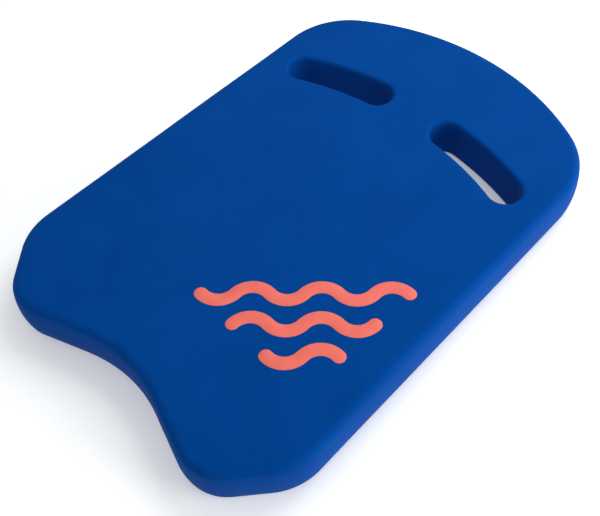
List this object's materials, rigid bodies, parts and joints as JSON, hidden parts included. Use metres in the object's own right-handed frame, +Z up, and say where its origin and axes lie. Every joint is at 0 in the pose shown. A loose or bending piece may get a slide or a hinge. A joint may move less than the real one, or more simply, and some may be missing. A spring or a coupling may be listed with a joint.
{
  "type": "kickboard float",
  "caption": "Flat swimming kickboard of moulded foam with a rounded nose, curved hand slots, a scooped tail and a wave print on the deck.",
  "frame": {"origin": "on the underside, at the middle of the board's overall length and width", "axes": "+X across the board to the right, +Y along the board to the rounded nose, +Z up out of the printed deck"},
  "size_m": [0.289, 0.4299, 0.037],
  "materials": {
    "foam": "matte moulded closed-cell foam skin",
    "print_film": "satin heat-pressed print film"
  },
  "bodies": {
    "root": {"foam_board": "foam", "wave_print_long": "print_film", "wave_print_middle": "print_film", "wave_print_short": "print_film"}
  },
  "joints": []
}
